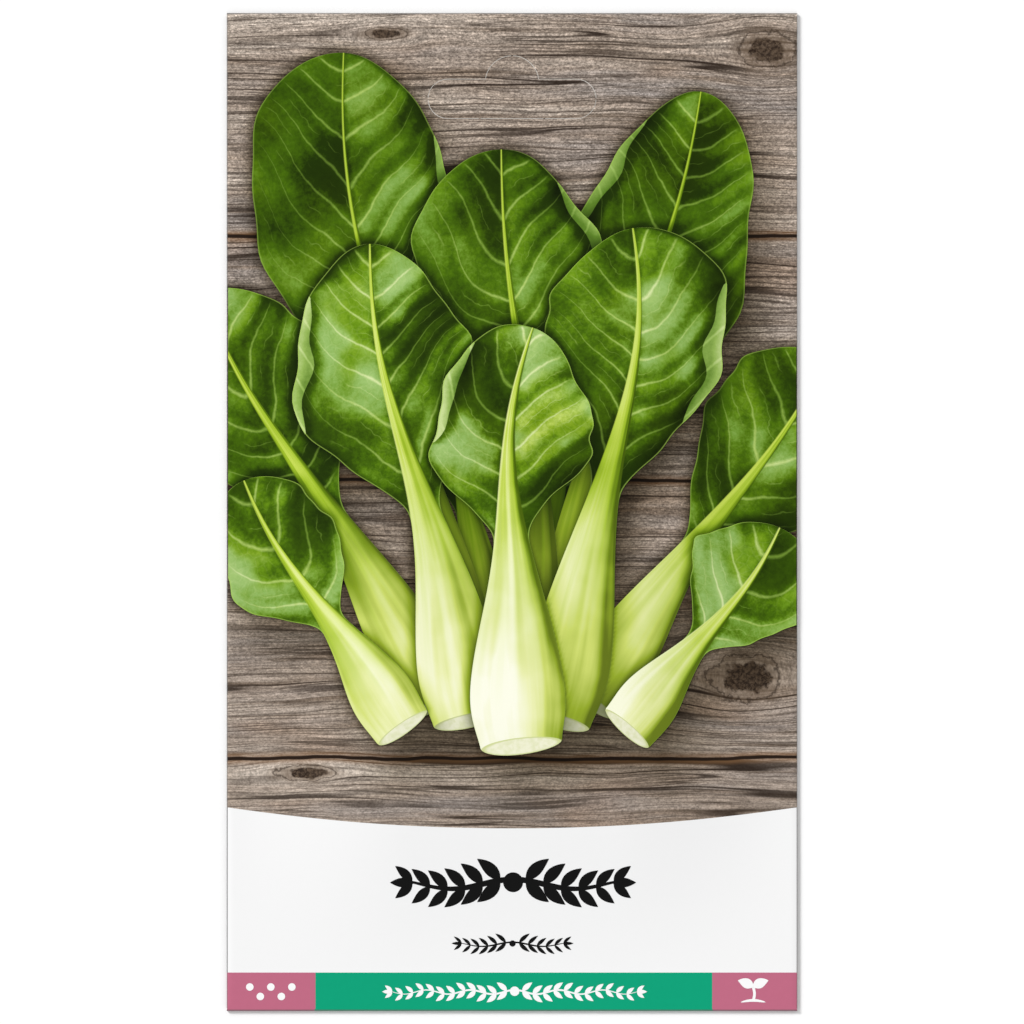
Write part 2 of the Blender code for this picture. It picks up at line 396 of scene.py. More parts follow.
coatedPaper = {
    "panel": srgb(244, 244, 244),
    "bare": srgb(240, 238, 233),
    "bareDark": srgb(228, 225, 218),
    "green": srgb(14, 163, 122),
    "pink": srgb(193, 108, 133),
    "score": srgb(214, 210, 204),
    "gloss": 0.42,                                 # roughness of the coated side, and of the bare one
    "bareGloss": 0.75,
    "sheen": 0.06,
    "panelMottle": 0.012,                          # how much an even ink darkens in spots
    "bandMottle": 0.06,
    "backMottle": 0.015,
    "ornamentMottle": 0.04,
    "mottleScale": 900.0,                          # per metre
    "bareScale": 1400.0,
    "foldShadeOnInk": (srgb(110, 110, 110), 0.65),      # painted shade: grey along the outermost line of each fold, and how strong it is
    # painted shade along the folds of the white panel, darker
    "foldShadeOnPanel": (srgb(46, 46, 46), 0.88),
    "fibre": 4.0,                                  # paper fibres, per mm
    "fibreHeight": 0.004 * mm,
}

boards = {
    "knots": [                             # middle x and y, half length along the grain, half width, mm
        (44.5, -31.5, 5.6, 3.4), (-39.0, -49.6, 4.4, 1.2), (48.5, 88.0, 4.2, 2.8), (-24.0, 91.0, 3.4, 0.9)],
    "gaps": [52.5, 6.0, -46.8],            # dark lines between boards, mm up
    "warm": srgb(176, 160, 146),
    "cool": srgb(158, 149, 143),
    "pale": srgb(202, 189, 176),
    "brown": srgb(118, 99, 81),
    "crack": srgb(40, 29, 22),
    "rust": srgb(142, 104, 68),
    "grains": [                            # lengthwise and crosswise per mm, and contrast
        (0.28, 2.9, 0.3), (0.95, 2.7, 0.3), (1.9, 3.6, 0.4), (3.1, 4.8, 0.52)],
    "softer": (-60.0, 20.0, 0.62, 1.0),    # from and to, mm up, and the share of that contrast there
    "hairlines": [                         # per mm along and across, half width, strength
        (0.005, 0.20, 0.014, 0.95), (0.007, 0.36, 0.02, 0.85), (0.012, 0.66, 0.028, 0.68),
        (0.02, 1.15, 0.034, 0.5), (0.045, 1.5, 0.03, 0.4)],
    "shadeWarmth": (1.06, 1.22),           # how much sooner green and blue darken in the leaves' shade
}


def onPaper(material, colour):    # a finish's colour, over the paper's fibres
    fibres = noise(objectPlace(), coatedPaper["fibre"] / mm, detail=3.0)
    return wear(material, {"Base Color": colour, "Normal": bumpOf(fibres, coatedPaper["fibreHeight"], 0.25)})


def inkField(colour, mottle):    # an even field of ink with the slight mottle of offset print
    cloud = noise(objectPlace(), coatedPaper["mottleScale"], detail=4.0, roughness=0.6)
    return blend(cloud, colour, tuple(c * (1.0 - mottle) for c in colour[:3]) + (1.0,))


def paintedFoldShade(colour, line):    # painted shade: the ink is darkened grey along the outermost line of each fold, where the paper turns down over the edge
    across, along = uvOf("sheet")
    # worn: how much painted fold shade each spot gets; line: the shade's grey and how strong it is
    worn = 0.0
    for beyond, radius in (
            (frontLeft / mm - across, leftRadius),
            (across - frontRight / mm, rightRadius),
            (abs(along) - frontEnd / mm, endRadius)):
        middle = math.pi * radius / 2 / mm
        worn = calc("MAXIMUM", rangeOf(abs(beyond - middle), middle * 0.95, middle * 0.65), worn)
    return blend(worn * line[1], colour, line[0])


def inkOnPaper(name, colour, mottle, foldShading=None):
    material = newPrint(name)
    ink = inkField(colour, coatedPaper[mottle])
    # painted shade along the folds, when a grey for it is given
    return onPaper(material, paintedFoldShade(ink, foldShading) if foldShading else ink)


def boardWarp(across, along):    # place across the grain, whose lines bend round each knot
    bent = along
    for knotX, knotY, length, width in boards["knots"]:
        dx, dy = (across - knotX) / (length * 2.6), along - knotY
        pull = calc("EXPONENT", (dx * dx + abs(dy / (width * 2.4)) ** 2.0) * -1.0)
        bent = bent - dy * 0.8 * pull
    return bent


def boardColour(across, along):
    flat = combine(across, along)
    bent = boardWarp(across, along) + noise(combine(across * 0.02, along * 0.06), 1.0) * 5.0

    # Boards differ a little in tone, and the grain starts anew on each
    number = 0.0
    for gap in boards["gaps"]:
        number = calc("GREATER_THAN", along, gap) + number
    anew = bent + number * 37.0

    def grain(lengthwise, crosswise, detail, rough, offset=0.0):
        return noise(combine(across * lengthwise, anew * crosswise, offset), 1.0, detail, rough)

    colour = ramp(grain(0.012, 0.14, 3.0, 0.5), [
        (0.32, boards["cool"]), (0.5, boards["warm"]), (0.68, boards["pale"])])
    boardTone = rangeOf(calc("FRACT", number * 0.37), 0.0, 1.0, 0.0, 0.45)
    rusty = rangeOf(grain(0.03, 0.11, 2.0, 0.5, 21.0), 0.55, 0.7, 0.0, 0.3)
    streaks = rangeOf(grain(0.02, 0.5, 3.0, 0.6, 5.0), 0.5, 0.7, 0.0, 0.6)
    for share, stain in ((boardTone, "cool"), (rusty, "rust"), (streaks, "brown")):
        colour = blend(share, colour, boards[stain])

    # Fibres and speckle, both stretched along the grain, softer on the lower boards
    fibre = 1.0
    for lengthwise, crosswise, contrast in boards["grains"]:
        fibre = rangeOf(grain(lengthwise, crosswise, 1.5, 0.6, contrast), 0.26, 0.74,
                        1.0 - contrast, 1.0 + contrast, smooth=False) * fibre
    fibre = fibre ** rangeOf(along, *boards["softer"])
    colour = blend(1.0, colour, combine(fibre, fibre, fibre), "MULTIPLY")

    # Hairline cracks follow the grain, fade in and out and have a warmer edge
    crack, edge = 0.0, 0.0
    for offset, (lengthwise, crosswise, width, strength) in enumerate(boards["hairlines"]):
        line = abs(grain(lengthwise, crosswise, 1.0, 0.4, 8.0 + 7.0 * offset) - 0.5)
        fade = grain(lengthwise * 4, crosswise * 0.5, 2.0, 0.5, 11.0 + 7.0 * offset)
        fade = rangeOf(fade, 0.38, 0.56, 0.2, strength)
        crack = calc("MAXIMUM", rangeOf(line, width, width * 0.25) * fade, crack)
        edge = calc("MAXIMUM", rangeOf(line, width * 3.5, 0.0) * fade, edge)
    colour = blend(edge * 0.4, colour, boards["brown"])
    colour = blend(crack, colour, boards["crack"])

    for knotX, knotY, length, width in boards["knots"]:
        dx, dy = (across - knotX) / length, (along - knotY) / width
        reach = calc("SQRT", dx * dx + dy * dy) + (noise(flat, 0.34, 4.0, 0.65) - 0.5) * 1.3
        mottled = rangeOf(noise(flat, 1.5, 4.0, 0.6), 0.32, 0.68)
        heart = blend(mottled * 0.6, boards["crack"], boards["brown"])
        heart = blend(rangeOf(abs(noise(flat, 0.55, 2.0) - 0.5), 0.03, 0.01), heart, boards["crack"])
        colour = blend(rangeOf(reach, 2.1, 0.8, 0.0, 0.6), colour, boards["brown"])
        colour = blend(rangeOf(abs(reach - 1.25), 0.1, 0.02, 0.0, 0.6), colour, boards["crack"])
        colour = blend(rangeOf(reach, 0.95, 0.72, 0.0, 0.95), colour, heart)

    for gap in boards["gaps"]:
        away = abs(along - gap - (noise(flat, 0.07, 2.0) - 0.5) * 1.6)
        colour = blend(rangeOf(away, 1.5, 0.35, 0.0, 0.5), colour, boards["rust"])
        colour = blend(rangeOf(away, 0.46, 0.22), colour, boards["crack"])
    return colour


def boardsPrint():
    material = newPrint("boardsPrint")
    colour = boardColour(*uvOf("sheet"))
    shade = rangeOf(numberOf("shade"), 0.0, 1.0, 1.0, 0.1, smooth=False)
    warmShade = combine(shade, *(shade ** turn for turn in boards["shadeWarmth"]))
    colour = blend(1.0, colour, warmShade, "MULTIPLY")
    # painted shade along the folds
    return onPaper(material, paintedFoldShade(colour, coatedPaper["foldShadeOnInk"]))


# The printed leaves, in mm from the packet's middle. Each lies on a bent midrib from its base over its bend
# to its tip. "blade" and "stalk" are half widths, "neck" is the stalk's share of the midrib, "widest" the
# share of the blade below its widest place, "blunt" the roundness of the tip. "wave" is how much the margin
# waves, "sway" how far the midrib swings aside, "fold" how steeply the blade rises from the midrib, and a
# leaf of a higher level lies on the lower ones. "seed" starts the random draws that make each leaf its own.
# A "roll" is a strip of the margin that turns over: side, start, end, width.

leafWords = ("base", "bend", "tip", "blade", "stalk", "neck", "widest", "blunt", "wave", "sway", "fold",
             "level", "seed", "roll")

leafBed = {
    "columns": 30,
    "footRows": 8,
    "stalkRows": 42,
    "bladeRows": 34,
    "tipRows": 34,
    "mapColumns": 6,         # leaves beside each other on the map for export
    "veinGap": 6.8,          # mm between side veins
    "veinSlant": 0.8,        # how soon they rise beside the midrib, and how much they curve up further out
    "veinCurve": 0.02,
    "marginWaves": ((0.05, 7), (0.03, 19), (0.01, 43)),    # share of the width, and radians up the blade
    "reliefWaves": (         # height and gap in mm, power towards the margin, turn, and if it comes and goes
        (1.7, 27.0, 1.5, 1.1, False), (2.2, 47.0, 1.0, 0.8, False), (0.5, 13.5, 2.6, -1.7, True)),
    "cutEnd": 0.2,           # depth of the cut foot to its half width
    "inkStep": 0.012 * mm,
    "ink": 0.006 * mm,
    "light": (-0.5, 0.45, 0.74),
    "leaves": [dict(zip(leafWords, values)) for values in (
        ((-4, -30), (-10, 8), (-17, 47), 14, 6, 0.36, 0.56, 2, 1, 2, 0.7, 0, 41),
        ((4, -30), (10, 6), (13, 42), 13, 6, 0.36, 0.56, 2, 1, -2, -0.7, 1, 43),
        ((-7, -33), (-24, 22), (-32, 87.4), 19, 6.6, 0.36, 0.6, 2.3, 1.2, 3.4, 1, 2, 3, (1, 0.36, 0.8, 2.6)),
        ((9, -33), (17, 26), (36, 80), 17, 6.4, 0.38, 0.47, 1.8, 1.1, -3.4, -0.9, 2, 5, (-1, 0.46, 0.9, 2.4)),
        ((1, -36), (7, 18), (-2, 69), 18.5, 6.8, 0.4, 0.52, 2.1, 1.5, 2.6, 1.1, 3, 8, (1, 0.5, 0.9, 2.6)),
        ((-13, -37), (-38, 4), (-59, 42), 16.5, 7.6, 0.42, 0.5, 2, 1.4, 2.4, -1, 4, 11),
        ((14, -37), (37, -4), (60, 30), 15.5, 7.4, 0.43, 0.55, 2.2, 1.3, -2.4, 1, 4, 13),
        ((8, -41), (21, 6), (23, 54), 17, 8.4, 0.45, 0.58, 2.2, 1.5, -3, 1, 5, 17, (1, 0.34, 0.8, 3.2)),
        ((-8, -41), (-17, 0), (-27, 51), 16.5, 8.6, 0.45, 0.48, 1.9, 1.4, 3, -1, 6, 19, (-1, 0.42, 0.84, 2.8)),
        ((-20, -42), (-33, -24), (-51, 6), 12, 7.4, 0.47, 0.52, 2.1, 1.3, 1.8, 0.9, 7, 23),
        ((21, -42), (34, -28), (51, -3), 12, 7.2, 0.47, 0.58, 2, 1.4, -1.8, -0.9, 7, 29),
        ((2, -46), (-3, -8), (4, 35), 15, 10, 0.5, 0.5, 2.2, 1.5, 2.4, 1.1, 8, 31, (-1, 0.46, 0.88, 2.4)),
    )],
}


def leafRows(neck, foot, widest):    # shares of the midrib's length, closer together at the foot and the tip
    footTurn = np.linspace(0, math.pi / 2, leafBed["footRows"], endpoint=False)
    tipTurn = np.linspace(0, math.pi / 2, leafBed["tipRows"] + 1)
    return np.concatenate([
        foot * (1 - np.cos(footTurn)),
        np.linspace(foot, neck, leafBed["stalkRows"], endpoint=False),
        neck + (1 - neck) * widest * np.linspace(0, 1, leafBed["bladeRows"], endpoint=False),
        neck + (1 - neck) * (widest + (1 - widest) * np.sin(tipTurn)),
    ])


def slopeOf(flat, height):    # how a height over the flat leaf rises to the right and upwards
    flatDown, flatOver = np.gradient(flat, axis=0), np.gradient(flat, axis=1)
    down, over = np.gradient(height, axis=0), np.gradient(height, axis=1)
    area = flatDown[..., 0] * flatOver[..., 1] - flatDown[..., 1] * flatOver[..., 0]
    area = np.copysign(np.maximum(np.abs(area), 1e-4), area)
    right = (down * flatOver[..., 1] - over * flatDown[..., 1]) / area
    upward = (over * flatDown[..., 0] - down * flatOver[..., 0]) / area
    return np.clip(right, -1.2, 1.2), np.clip(upward, -1.2, 1.2)


def leafForm(leaf):    # flat places in mm and what the shading needs, as rows by columns
    draw = random.Random(leaf["seed"])
    base, bend, tip = (np.array(leaf[k], float) for k in ("base", "bend", "tip"))
    cut = leafBed["cutEnd"] * leaf["stalk"]
    roughLength = np.linalg.norm(bend - base) + np.linalg.norm(tip - bend)
    widest = leaf["widest"]
    t = leafRows(leaf["neck"], cut / roughLength, widest)
    toBend, toTip = 2 * t * (1 - t), t * t
    rib = base * ((1 - t) ** 2)[:, None] + bend * toBend[:, None] + tip * toTip[:, None]
    rib[:, 0] += leaf["sway"] * np.sin(math.tau * t) * t
    side, run = sideOf(rib, t), lengthsAlong(rib)

    # Half widths: a broad stalk that narrows to the midrib, and the blade, widest above its middle
    s = np.clip((t - leaf["neck"]) / (1 - leaf["neck"]), 0, 1)
    ribHalf = leaf["stalk"] / (1 + (t / leaf["neck"] / 0.98) ** 3.3) * (1 - t) ** 0.5 + 0.14
    ribHalf *= 1 - 0.24 * np.exp(-(run / 7.0) ** 2)    # drawn in at the foot
    rise = np.sin(math.pi / 2 * np.clip(s / widest, 0, 1)) ** 1.4
    close = np.sqrt(np.clip(1 - (np.clip(s - widest, 0, 1) / (1 - widest)) ** leaf["blunt"], 0, 1))
    roundFoot = np.sqrt(1 - (1 - np.clip(run / cut, 0, 1)) ** 2)
    halves = []
    for _ in range(2):
        wave = 1.0
        for depth, turns in leafBed["marginWaves"]:
            wave = wave + leaf["wave"] * depth * np.sin(s * turns + draw.uniform(0, math.tau))
        halves.append(np.hypot(ribHalf * close ** 0.5, leaf["blade"] * rise * close * wave) * roundFoot)
    u = np.linspace(-1, 1, leafBed["columns"] + 1)
    half = np.where(u < 0, halves[0][:, None], halves[1][:, None])
    off = u * half
    flat = rib[:, None, :] + side[:, None, :] * off[:, :, None]

    # Side veins leave the midrib at an angle and curve up towards the margin
    wobble = [draw.uniform(0, math.tau) for _ in range(4)]
    away, hand = np.abs(off), np.where(off > 0, 1.0, -1.0)
    slanted = run[:, None] - leafBed["veinSlant"] * away - leafBed["veinCurve"] * away ** 2
    phase = slanted / leafBed["veinGap"]
    freed = away / (away + 6)    # both sides leave the midrib together and then go their own way
    phase += 0.3 * np.sin(run[:, None] / 7.1 + wobble[3])    # uneven gaps
    phase += 0.5 * freed * np.sin(run[:, None] / 8.3 + wobble[0] + hand)
    phase += 0.25 * freed * np.sin(away / 3.1 + wobble[1] * hand + run[:, None] / 6)

    # The blade as it would stand in relief: folded at the midrib, arched, with a waved margin
    lamp = np.array(leafBed["light"]) / np.linalg.norm(leafBed["light"])
    share = np.abs(u)[None]
    relief = leaf["fold"] * leaf["blade"] * 0.21 * (share - 0.7 * share ** 2.4) * rise[:, None]
    comeAndGo = 0.5 + 0.5 * np.sin(run[:, None] / 9.0 + wobble[1] + 2.0 * hand)
    for height, gap, power, turn, fades in leafBed["reliefWaves"]:
        swing = math.tau * (run[:, None] - 0.5 * away) / gap
        reach = height * rise[:, None] * (comeAndGo if fades else 1.0)
        relief += reach * share ** power * np.sin(swing + wobble[2] * gap + hand * turn)
    relief += 0.14 * leaf["blade"] * np.sin(math.pi * s[:, None])
    right, upward = slopeOf(flat, relief)
    tipFade = np.clip((1 - s[:, None]) / 0.12, 0, 1)
    right, upward = right * tipFade, upward * tipFade
    light = (lamp[2] - right * lamp[0] - upward * lamp[1]) / np.sqrt(1 + right ** 2 + upward ** 2)
    light = np.maximum(light, 0.5 + 0.4 * (light - 0.5))    # light from around reaches the far slopes

    # How the puffed blade between two veins, and the round stalk, lean to the light
    right, upward = slopeOf(flat, phase * leafBed["veinGap"])
    lean = (right * lamp[0] + upward * lamp[1]) * tipFade * np.clip(away / 3, 0, 1)
    slant = side @ lamp[:2]
    edge = np.minimum((1 - share) * half, 20)
    turned = np.full_like(off, -5.0)    # how far inside the turned-over strip of the margin, mm
    if "roll" in leaf:
        rollHand, start, end, width = leaf["roll"]
        middle = np.clip((s - start) / (end - start), 0, 1)
        strip = width * np.sin(math.pi * middle) ** 0.8 * (1 + 0.16 * np.sin(s * 31 + wobble[3]))
        strip = np.where((s > start) & (s < end), strip, -1.0)[:, None] - edge
        turned = np.where(hand == rollHand, np.maximum(turned, strip), turned)
    outline = np.concatenate([flat[:, 0], flat[::-1, -1]])
    full = np.ones_like(off)
    return {
        "flat": flat, "off": off, "run": full * run[:, None], "rib": full * ribHalf[:, None], "phase": phase,
        "light": light, "lean": lean, "slant": full * slant[:, None], "edge": edge,
        "turned": turned, "place": full * (t / leaf["neck"])[:, None], "outline": outline[::2],
        "tint": full * draw.uniform(0, 1),
    }


def distanceTo(outline, spots):    # signed distance in mm, below zero inside
    a, b = outline, np.roll(outline, -1, axis=0)
    ab = b - a
    lengths = np.maximum((ab ** 2).sum(1), 1e-9)
    ap = spots[:, None, :] - a[None]
    share = np.clip((ap * ab[None]).sum(2) / lengths[None], 0, 1)
    gap = np.sqrt(((ap - share[:, :, None] * ab[None]) ** 2).sum(2).min(1))
    over = (a[None, :, 1] > spots[:, None, 1]) != (b[None, :, 1] > spots[:, None, 1])
    slope = ab[:, 0] / np.where(np.abs(ab[:, 1]) < 1e-9, 1e-9, ab[:, 1])
    crossX = a[None, :, 0] + (spots[:, None, 1] - a[None, :, 1]) * slope[None]
    inside = ((over & (spots[:, None, 0] < crossX)).sum(1) % 2) == 1
    return np.where(inside, -gap, gap)


leafShadow = {
    "fall": (1.5, -2.2),       # how far a leaf's shadow falls to the right and up, mm
    "soft": 6.5,
    "softDepth": 0.97,
    "contact": 2.6,
    "contactDepth": 0.9,
    "deepest": 0.54,           # the lowest leaf is darker by this share all over
    "perLevel": 0.12,          # a leaf further up throws a longer shadow
    "boardsLevel": -4,         # the boards lie well below the lowest leaf
    "farthest": 14.0,          # mm from a leaf where its shadow has ended
}


def shadeAt(spots, forms, level):    # how far the leaves above a level darken spots below them
    shade = np.zeros(len(spots))
    for leaf, form in zip(leafBed["leaves"], forms):
        if leaf["level"] <= level:
            continue
        lift = 1 + leafShadow["perLevel"] * (leaf["level"] - level)
        outline, far = form["outline"], leafShadow["farthest"]
        near = np.nonzero(((spots > outline.min(0) - far) & (spots < outline.max(0) + far)).all(1))[0]
        if not len(near):
            continue
        cast = distanceTo(outline, spots[near] - np.array(leafShadow["fall"]) * lift)
        soft = 1 - np.clip(cast / (leafShadow["soft"] * lift) + 0.45, 0, 1)
        tight = 1 - np.clip(distanceTo(outline, spots[near]) / leafShadow["contact"], 0, 1)
        dark = np.maximum(leafShadow["softDepth"] * soft ** 1.3, leafShadow["contactDepth"] * tight ** 1.5)
        shade[near] = 1 - (1 - shade[near]) * (1 - dark)
    return shade


leafColours = {
    "blade": [(0.0, (8, 15, 2)), (0.2, (33, 53, 4)), (0.42, (68, 103, 8)), (0.6, (103, 143, 20)),
              (0.8, (134, 170, 46)), (1.0, (180, 207, 104))],
    "vein": [(0.0, (30, 50, 8)), (0.4, (126, 160, 58)), (0.7, (184, 208, 112)), (1.0, (226, 236, 176))],
    "foot": [(0.0, (40, 52, 8)), (0.25, (146, 168, 44)), (0.5, (206, 218, 112)), (0.75, (235, 239, 180)),
             (1.0, (251, 251, 232))],
    "upper": [(0.0, (24, 42, 4)), (0.25, (98, 130, 14)), (0.5, (158, 188, 44)), (0.75, (194, 214, 86)),
              (1.0, (229, 238, 160))],
    "under": [(0.0, (24, 42, 4)), (0.35, (92, 128, 40)), (0.65, (146, 178, 86)), (1.0, (200, 218, 148))],
    "rim": (170, 204, 88),
    "gleam": (150, 188, 120),
    "cutFace": (240, 240, 212),
    "cutRim": (206, 214, 150),
    "cutShade": (84, 92, 46),
    "veinStrength": (0.9, 0.3),      # beside the midrib, and at the margin
    "fineVeins": 0.4,
    "netStrength": 0.1,
    "glow": 0.11,                    # how much brighter the blade is beside a side vein
    "puff": 0.1,
    "clouds": 0.17,
}


def leafRamp(value, name):
    return ramp(value, [(stop, srgb(*colour)) for stop, colour in leafColours[name]])


def leafPrint():    # one material for all of the leaves, from the maps that each leaf carries
    material = newPrint("leafPrint")
    off, run = uvOf("leaf")
    light, lean, slant, shade, phase, rib, edge, turned, place, tint = (numberOf(name) for name in (
        "light", "lean", "slant", "shade", "phase", "rib", "edge", "turned", "place", "tint"))
    away, beside = abs(off), abs(off) - rib
    local = combine(off, run, tint * 60.0)
    lit = rangeOf(shade, 0.0, 1.0, 1.0, 0.05, smooth=False)

    # Side veins run along the phase, thinner towards the margin, with finer ones between them
    def veinAt(turn, thick):
        gap = abs(calc("FRACT", turn) - 0.5) * (leafBed["veinGap"] * 0.78)
        return gap, calc("SUBTRACT", 1.0, gap / thick, clamp=True)

    bend = noise(local, 0.35) - 0.5
    crooked = phase + bend * 0.16
    gap, vein = veinAt(crooked, rangeOf(away, 0.5, 14.0, 0.42, 0.13, smooth=False))
    atMargin = rangeOf(edge, 0.3, 2.6)
    vein = vein * rangeOf(away, 1.0, 15.0, *leafColours["veinStrength"], smooth=False) * atMargin
    fineVein = veinAt(crooked + 0.5 + bend * 0.3, rangeOf(away, 2.0, 12.0, 0.12, 0.2))[1]
    seen = rangeOf(noise(local, 0.16, 1.0), 0.46, 0.6, 0.0, leafColours["fineVeins"])
    fineVein = fineVein * seen * atMargin
    glow = rangeOf(gap, 1.9, 0.0) * rangeOf(away, 14.0, 0.0, 0.1, 1.0)

    # Blade: light and shade pick the green, with puffs between the veins and small cells in them
    puff = calc("SINE", crooked * math.tau) * lean * leafColours["puff"]
    cells = cellsOf(shifted(local, bend), 0.5)
    clouds = leafColours["clouds"]
    cloud = rangeOf(noise(local, 0.055, 3.0), 0.32, 0.68, -clouds, clouds)
    fine = rangeOf(noise(local, 1.3, 5.0, 0.7), 0.3, 0.7, -0.05, 0.05)
    tone = light + puff + rangeOf(cells, 0.0, 0.5, -0.02, 0.03) + cloud + fine + glow * leafColours["glow"]
    tone = tone - (rangeOf(beside, 1.2, 0.0, 0.0, 0.08) + rangeOf(turned, -3.2, 0.0, 0.0, 0.34))
    tone = (tone - 0.34) / 0.7
    tone = calc("MAXIMUM", tone, tone * 0.35 + 0.21) * lit
    green = leafRamp(tone, "blade")
    yellow = blend(1.0, green, (1.16, 1.05, 0.76, 1.0), "MULTIPLY")
    patch = rangeOf(noise(local, 0.08), 0.4, 0.65) * rangeOf(tint, 0.0, 1.0, 0.2, 0.8)
    green = blend(patch, green, yellow)
    gleam = rangeOf(tone, 0.45, 0.9, 0.0, 0.62) * rangeOf(cloud, -0.04, 0.12)
    colour = blend(gleam, green, srgb(*leafColours["gleam"]))
    paleVein = leafRamp(tone + lit * 0.08, "vein")
    net = rangeOf(cells, 0.085, 0.0) * rangeOf(tone, 0.3, 0.6, 0.0, leafColours["netStrength"])
    for share in (net, fineVein, vein):
        colour = blend(share, colour, paleVein)

    # Where the margin turns over, its paler underside shows, brightest along the bend
    bendLight = rangeOf(edge, 0.1, 2.4, 0.9, 0.5) + (fine + cloud * 0.8) + (light - 0.74) * 0.7
    bendLight = bendLight + rangeOf(gap, 0.5, 0.05, 0.0, 0.22)
    colour = blend(rangeOf(turned, -0.07, 0.07), colour, leafRamp(bendLight * lit, "under"))
    colour = blend(rangeOf(edge, 0.32, 0.08, 0.0, 0.55) * lit, colour, srgb(*leafColours["rim"]))

    # Stalk and midrib: round, cream at the foot and yellow-green higher up, with long soft ribs
    inside = calc("MINIMUM", calc("MAXIMUM", off / rib, -1.0), 1.0)
    leaning = inside * 0.8
    facing = calc("SQRT", 1.0 - leaning * leaning)

    def ribsAt(perHalf, perLength):
        return noise(combine(inside * perHalf, run * perLength, tint * 40.0), 1.0)

    ribs = ribsAt(6.0, 0.03)
    broad = rangeOf(ribsAt(1.5, 0.014), 0.34, 0.66, -0.26, 0.14) * rangeOf(place, 0.0, 0.5, 0.3, 1.0)
    patches = rangeOf(noise(local, 0.12), 0.3, 0.7, -0.05, 0.05)
    stalkLight = facing * leafBed["light"][2] + leaning * slant
    stalkLight = stalkLight + broad + rangeOf(ribs, 0.3, 0.7, -0.05, 0.05) + patches
    stalkTone = rangeOf(stalkLight, 0.05, 0.88, 0.12, 1.0, smooth=False) * lit
    ripe = rangeOf(place + rangeOf(ribs, 0.3, 0.7, -0.12, 0.12), 0.25, 1.3)
    stalk = blend(ripe, leafRamp(stalkTone, "foot"), leafRamp(stalkTone, "upper"))

    # The foot ends in an oval cut face
    deep = rib * leafBed["cutEnd"]
    rise = (run - deep) / deep
    oval = calc("SQRT", inside * inside + rise * rise)
    cutFace, cutRim, cutShade = (srgb(*leafColours[name]) for name in ("cutFace", "cutRim", "cutShade"))
    face = blend(rangeOf(oval, 0.78, 0.96), cutFace, cutRim)
    face = blend(rangeOf(noise(local, 1.1, 3.0), 0.35, 0.7, 0.0, 0.4), face, cutRim)
    face = blend(lit, cutShade, face)
    stalk = blend(rangeOf(oval, 1.03, 0.97), stalk, face)
    return onPaper(material, blend(rangeOf(beside, 0.14, -0.14), colour, stalk))


def layInk(piece, level):    # flat mm to the packet's front, as a closed film of ink
    spots = pointsOf(piece.data)
    x, y = spots[:, 0] * mm, spots[:, 1] * mm
    z = frontHeight(x, y) + paper / 2 + (level + 1) * leafBed["inkStep"]
    setPoints(piece.data, np.stack([x, y, z], 1))
    useModifier(piece, "SOLIDIFY", thickness=leafBed["ink"], offset=-1.0, use_even_offset=False)


def faceUp(piece):
    editMesh(piece, (bpy.ops.mesh.remove_doubles, {"threshold": 0.001}),
             (bpy.ops.mesh.normals_make_consistent, {"inside": False}))
    if sum(face.normal.z * face.area for face in piece.data.polygons) < 0:
        editMesh(piece, (bpy.ops.mesh.flip_normals, {}))


def cropToFront(piece):    # flat mm, cut at the side folds
    for edgeX, normal in ((frontLeft / mm, (-1, 0, 0)), (frontRight / mm, (1, 0, 0))):
        editMesh(piece, (bpy.ops.mesh.bisect, {
            "plane_co": (edgeX, 0, 0), "plane_no": normal, "clear_outer": True, "use_fill": False}))


def makeLeaves(forms):
    finish = leafPrint()
    made = []
    for number, (leaf, form) in enumerate(zip(leafBed["leaves"], forms)):
        rows, columns = form["off"].shape
        piece, column, row = addGrid(f"leaf{number}", columns - 1, rows - 1)
        mesh = piece.data
        flat = form["flat"][row, column]
        layFlat(piece, flat)
        writeUv(mesh, "leaf", np.stack([form["off"][row, column], form["run"][row, column]], 1))
        for name in ("light", "lean", "slant", "phase", "rib", "edge", "turned", "tint", "place"):
            writeNumbers(mesh, name, form[name][row, column])
        depth = leafShadow["deepest"] * (1 - leaf["level"] / leafBed["leaves"][-1]["level"])
        writeNumbers(mesh, "shade", 1 - (1 - shadeAt(flat, forms, leaf["level"])) * (1 - depth))
        mesh.materials.append(finish)
        faceUp(piece)
        cropToFront(piece)
        layInk(piece, leaf["level"])
        off, run = readUv(mesh, "leaf").T
        cell = number % leafBed["mapColumns"], number // leafBed["mapColumns"]
        beside, above = 0.5 + 0.49 * off / np.abs(off).max(), 0.99 * run / run.max()
        places = np.column_stack([cell[0] + beside, cell[1] + above])
        places /= leafBed["mapColumns"], len(forms) / leafBed["mapColumns"]
        rising = np.array([face.normal.z > 0.5 for face in mesh.polygons])
        writeBakeMap(mesh, places, np.repeat(~rising, readAll(mesh.polygons, "loop_total")))
        made.append(piece)
    leaves = joinAll(made, "printed_leaves")
    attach(leaves, "root")
    print("printed leaves:", len(made), "leaves,", len(leaves.data.polygons), "faces")


# The paper envelope


def gridLines(start, *stretches):    # each stretch is where it ends and in how many steps
    lines = [start]
    for end, steps in stretches:
        lines += spread(lines[-1], end, steps)[1:]
    return np.array(lines)


